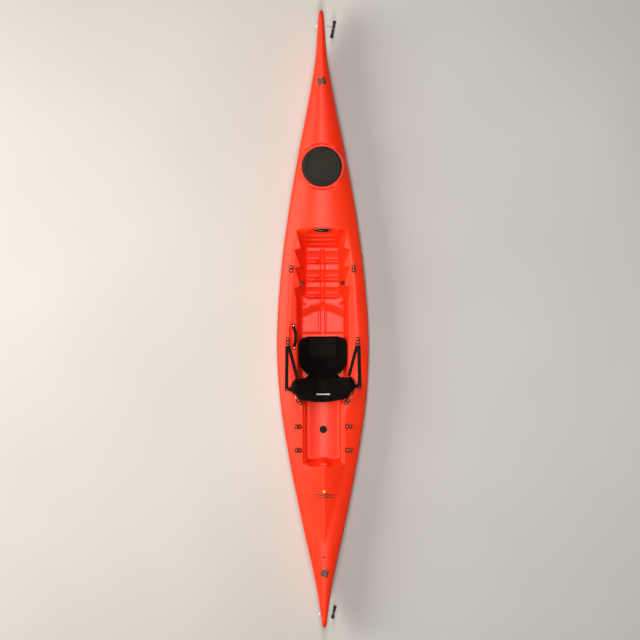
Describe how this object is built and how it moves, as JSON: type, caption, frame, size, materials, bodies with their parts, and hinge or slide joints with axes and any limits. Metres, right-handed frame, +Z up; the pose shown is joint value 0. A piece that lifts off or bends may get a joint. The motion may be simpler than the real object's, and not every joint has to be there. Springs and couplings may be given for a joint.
{
  "type": "sit-on-top kayak",
  "caption": "Long slender single-seat sit-on-top kayak: hollow moulded hull, round bow hatch, foot well with braces, padded seat and backrest, tank well, pad eyes and carry toggles.",
  "frame": {"origin": "under the middle of the hull, in the plane of the flat keel", "axes": "+Y to the bow, +X to starboard, +Z up"},
  "size_m": [0.633, 4.25, 0.45],
  "materials": {
    "hull_plastic": "rotomoulded polyethylene, orange-red, satin with a fine pebble",
    "hatch_rubber": "matt black rubber",
    "gasket_rubber": "smooth black rubber",
    "black_plastic": "moulded black nylon, satin",
    "handle_plastic": "ribbed black plastic grip",
    "badge": "domed dark plate with a plain silvery rim",
    "cord": "braided pale cord",
    "bead_plastic": "white plastic stop bead",
    "brass": "brass, slightly dulled",
    "steel": "stainless steel",
    "seat_fabric": "black woven nylon over foam, quilted",
    "webbing": "black polypropylene webbing",
    "patch": "plain pale sewn patch"
  },
  "bodies": {
    "boat": {"hull": "hull_plastic", "badge_plate": "badge", "stern_vent": "black_plastic", "plug_bush": "black_plastic", "seat_pad": "seat_fabric", "side_strap": "webbing", "side_strap_screw_front": "steel", "side_strap_screw_rear": "steel", "bow_bead_port": "bead_plastic", "bow_bead_starboard": "bead_plastic", "stern_bead_port": "bead_plastic", "stern_bead_starboard": "bead_plastic", "bow_through_cord": "cord", "stern_through_cord": "cord", "pad_eye_footwell_port": "black_plastic", "pad_eye_footwell_starboard": "black_plastic", "pad_eye_seat_front_port": "black_plastic", "pad_eye_seat_front_starboard": "black_plastic", "pad_eye_seat_rear_port": "black_plastic", "pad_eye_seat_rear_starboard": "black_plastic", "pad_eye_tank_front_port": "black_plastic", "pad_eye_tank_front_starboard": "black_plastic", "pad_eye_tank_rear_port": "black_plastic", "pad_eye_tank_rear_starboard": "black_plastic", "eye_screw_footwell_port": "brass", "eye_screw_footwell_starboard": "brass", "eye_screw_seat_front_port": "brass", "eye_screw_seat_front_starboard": "brass", "eye_screw_seat_rear_port": "brass", "eye_screw_seat_rear_starboard": "brass", "eye_screw_tank_front_port": "brass", "eye_screw_tank_front_starboard": "brass", "eye_screw_tank_rear_port": "brass", "eye_screw_tank_rear_starboard": "brass", "hook_seat_front_port": "black_plastic", "hook_seat_front_starboard": "black_plastic", "hook_seat_rear_port": "brass", "hook_seat_rear_starboard": "brass"},
    "hatch": {"hatch_cover": "hatch_rubber"},
    "plug_ring": {"plug_gasket": "gasket_rubber"},
    "plug": {"drain_plug": "black_plastic"},
    "backrest": {"backrest_pad": "seat_fabric", "backrest_board": "black_plastic", "backrest_patch": "patch", "strap_buckle_port": "black_plastic", "strap_buckle_starboard": "black_plastic", "front_strap_outer_port": "webbing", "front_strap_outer_starboard": "webbing", "front_strap_inner_port": "webbing", "front_strap_inner_starboard": "webbing", "rear_strap_port": "webbing", "rear_strap_starboard": "webbing"},
    "bow_toggle": {"bow_toggle_handle": "handle_plastic", "bow_toggle_cord": "cord"},
    "stern_toggle": {"stern_toggle_handle": "handle_plastic", "stern_toggle_cord": "cord"},
    "gate_seat_front_port": {"gate_seat_front_port": "steel"},
    "gate_seat_front_starboard": {"gate_seat_front_starboard": "steel"},
    "gate_seat_rear_port": {"gate_seat_rear_port": "steel"},
    "gate_seat_rear_starboard": {"gate_seat_rear_starboard": "steel"}
  },
  "joints": [
    {"name": "hatch_lift", "type": "slide", "parent": "boat", "child": "hatch", "axis": [0, 0, 1], "range_m": [0, 0.12]},
    {"name": "plug_rise", "type": "slide", "parent": "boat", "child": "plug_ring", "axis": [0, 0, 1], "range_m": [0, 0.021]},
    {"name": "plug_turn", "type": "hinge", "parent": "plug_ring", "child": "plug", "pos_m": [0, -0.761, 0.206], "axis": [0, 0, 1], "range_deg": [0, 1800]},
    {"name": "backrest_tilt", "type": "hinge", "parent": "boat", "child": "backrest", "pos_m": [0, -0.419, 0.135], "axis": [1, 0, 0], "range_deg": [-30, 6], "deforming": ["front_strap_outer_port", "front_strap_outer_starboard", "front_strap_inner_port", "front_strap_inner_starboard", "rear_strap_port", "rear_strap_starboard"]},
    {"name": "bow_toggle_swing", "type": "hinge", "parent": "boat", "child": "bow_toggle", "pos_m": [0.03923, 2.0145, 0.275], "axis": [0, -1, 0], "range_deg": [-25, 120], "deforming": ["bow_toggle_cord"]},
    {"name": "stern_toggle_swing", "type": "hinge", "parent": "boat", "child": "stern_toggle", "pos_m": [0.04043, -2.028, 0.255], "axis": [0, -1, 0], "range_deg": [-22, 120], "deforming": ["stern_toggle_cord"]},
    {"name": "gate_seat_front_port_open", "type": "hinge", "parent": "boat", "child": "gate_seat_front_port", "pos_m": [-0.24, -0.2, 0.29468], "axis": [-1, 0, 0], "range_deg": [0, 28], "stiffness_Nm_per_rad": 0.02, "springref_deg": -11.46},
    {"name": "gate_seat_front_starboard_open", "type": "hinge", "parent": "boat", "child": "gate_seat_front_starboard", "pos_m": [0.24, -0.2, 0.29468], "axis": [-1, 0, 0], "range_deg": [0, 28], "stiffness_Nm_per_rad": 0.02, "springref_deg": -11.46},
    {"name": "gate_seat_rear_port_open", "type": "hinge", "parent": "boat", "child": "gate_seat_rear_port", "pos_m": [-0.19697, -0.52424, 0.31505], "axis": [0.7848, 0.6198, 0], "range_deg": [0, 28], "stiffness_Nm_per_rad": 0.02, "springref_deg": -11.46},
    {"name": "gate_seat_rear_starboard_open", "type": "hinge", "parent": "boat", "child": "gate_seat_rear_starboard", "pos_m": [0.19697, -0.52424, 0.31505], "axis": [0.7848, -0.6198, 0], "range_deg": [0, 28], "stiffness_Nm_per_rad": 0.02, "springref_deg": -11.46}
  ],
  "couplings": [
    {"joint": "plug_rise", "follows": "plug_turn", "m_per_rad": 0.00063662}
  ]
}
